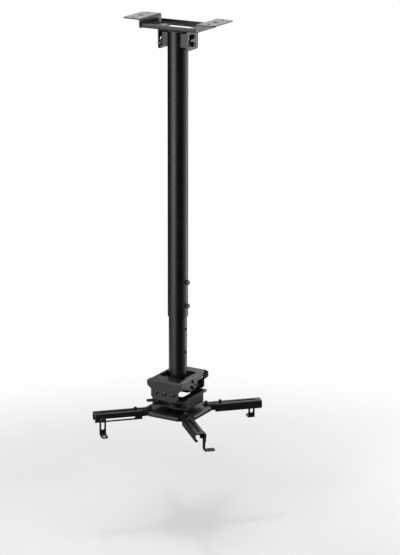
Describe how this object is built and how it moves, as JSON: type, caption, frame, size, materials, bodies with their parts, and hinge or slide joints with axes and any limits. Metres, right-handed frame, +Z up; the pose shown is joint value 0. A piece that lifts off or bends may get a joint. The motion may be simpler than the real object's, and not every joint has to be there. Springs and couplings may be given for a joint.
{
  "type": "projector ceiling mount",
  "caption": "Ceiling mount for a projector: a flanged ceiling plate with a hinged telescopic pole, a tilting and rolling cradle and a spider of slotted arms with sliding feet.",
  "frame": {"origin": "middle of the ceiling plate, on the face that lies against the ceiling", "axes": "+Z up, X along the ceiling plate, Y across it; the pole hangs along -Z"},
  "size_m": [0.2745, 0.288, 0.857],
  "materials": {
    "powder_coat": "satin black powder coat on steel sheet and tube",
    "black_screws": "black oxide steel",
    "spacer_nylon": "black nylon"
  },
  "bodies": {
    "ceiling": {"ceiling_plate": "powder_coat", "hanger_ear_left": "powder_coat", "hanger_ear_right": "powder_coat"},
    "mast": {"outer_tube": "powder_coat", "tube_lug_left": "powder_coat", "tube_lug_right": "powder_coat", "ceiling_pivot_bolts": "black_screws", "ceiling_pivot_nuts": "black_screws", "ceiling_lock_bolts": "black_screws", "ceiling_lock_nuts": "black_screws", "height_bolts": "black_screws", "height_nuts": "black_screws"},
    "drop_tube": {"inner_tube": "powder_coat", "pitch_lug_left": "powder_coat", "pitch_lug_right": "powder_coat", "pitch_pivot_bolts": "black_screws", "pitch_lock_bolts": "black_screws", "pitch_nuts": "black_screws"},
    "tilt_cradle": {"cradle": "powder_coat", "roll_bolts": "black_screws", "roll_nuts": "black_screws"},
    "turntable": {"roll_plate": "powder_coat", "hub_carrier": "powder_coat", "swivel_bolt": "black_screws", "swivel_washer": "black_screws", "swivel_spacer": "spacer_nylon", "swivel_nut": "black_screws"},
    "hub": {"hub_plate": "powder_coat", "arm_bolts": "black_screws", "arm_nuts": "black_screws"},
    "arm_slide_1": {"arm_1": "powder_coat"},
    "foot_clamp_1": {"foot_bolt_1": "black_screws", "foot_nut_1": "black_screws"},
    "foot_strip_1": {"foot_1": "powder_coat"},
    "arm_slide_2": {"arm_2": "powder_coat"},
    "foot_clamp_2": {"foot_bolt_2": "black_screws", "foot_nut_2": "black_screws"},
    "foot_strip_2": {"foot_2": "powder_coat"},
    "arm_slide_3": {"arm_3": "powder_coat"},
    "foot_clamp_3": {"foot_bolt_3": "black_screws", "foot_nut_3": "black_screws"},
    "foot_strip_3": {"foot_3": "powder_coat"},
    "arm_slide_4": {"arm_4": "powder_coat"},
    "foot_clamp_4": {"foot_bolt_4": "black_screws", "foot_nut_4": "black_screws"},
    "foot_strip_4": {"foot_4": "powder_coat"}
  },
  "joints": [
    {"name": "ceiling_tilt", "type": "hinge", "parent": "ceiling", "child": "mast", "pos_m": [0, 0, -0.0486], "axis": [1, 0, 0], "range_deg": [0, 90]},
    {"name": "pole_height", "type": "slide", "parent": "mast", "child": "drop_tube", "axis": [0, 0, -1], "range_m": [-0.1, 0.2]},
    {"name": "pitch", "type": "hinge", "parent": "drop_tube", "child": "tilt_cradle", "pos_m": [0, 0, -0.7522], "axis": [1, 0, 0], "range_deg": [-20, 20]},
    {"name": "roll", "type": "hinge", "parent": "tilt_cradle", "child": "turntable", "pos_m": [0, 0, -0.77], "axis": [0, 1, 0], "range_deg": [-8, 8]},
    {"name": "swivel", "type": "hinge", "parent": "turntable", "child": "hub", "pos_m": [0, 0, -0.8143], "axis": [0, 0, 1], "continuous": true},
    {"name": "arm_1_reach", "type": "slide", "parent": "hub", "child": "arm_slide_1", "axis": [0.7071, 0.7071, 0], "range_m": [-0.011, 0]},
    {"name": "foot_1_along", "type": "slide", "parent": "arm_slide_1", "child": "foot_clamp_1", "axis": [0.7071, 0.7071, 0], "range_m": [-0.065, 0]},
    {"name": "foot_1_height", "type": "slide", "parent": "foot_clamp_1", "child": "foot_strip_1", "axis": [0, 0, 1], "range_m": [0, 0.018]},
    {"name": "arm_2_reach", "type": "slide", "parent": "hub", "child": "arm_slide_2", "axis": [-0.7071, 0.7071, 0], "range_m": [-0.011, 0]},
    {"name": "foot_2_along", "type": "slide", "parent": "arm_slide_2", "child": "foot_clamp_2", "axis": [-0.7071, 0.7071, 0], "range_m": [-0.026, 0.039]},
    {"name": "foot_2_height", "type": "slide", "parent": "foot_clamp_2", "child": "foot_strip_2", "axis": [0, 0, 1], "range_m": [-0.017, 0.001]},
    {"name": "arm_3_reach", "type": "slide", "parent": "hub", "child": "arm_slide_3", "axis": [-0.7071, -0.7071, 0], "range_m": [-0.011, 0]},
    {"name": "foot_3_along", "type": "slide", "parent": "arm_slide_3", "child": "foot_clamp_3", "axis": [-0.7071, -0.7071, 0], "range_m": [-0.065, 0]},
    {"name": "foot_3_height", "type": "slide", "parent": "foot_clamp_3", "child": "foot_strip_3", "axis": [0, 0, 1], "range_m": [0, 0.018]},
    {"name": "arm_4_reach", "type": "slide", "parent": "hub", "child": "arm_slide_4", "axis": [0.7071, -0.7071, 0], "range_m": [-0.011, 0]},
    {"name": "foot_4_along", "type": "slide", "parent": "arm_slide_4", "child": "foot_clamp_4", "axis": [0.7071, -0.7071, 0], "range_m": [-0.0585, 0.0065]},
    {"name": "foot_4_height", "type": "slide", "parent": "foot_clamp_4", "child": "foot_strip_4", "axis": [0, 0, 1], "range_m": [0, 0.018]}
  ]
}
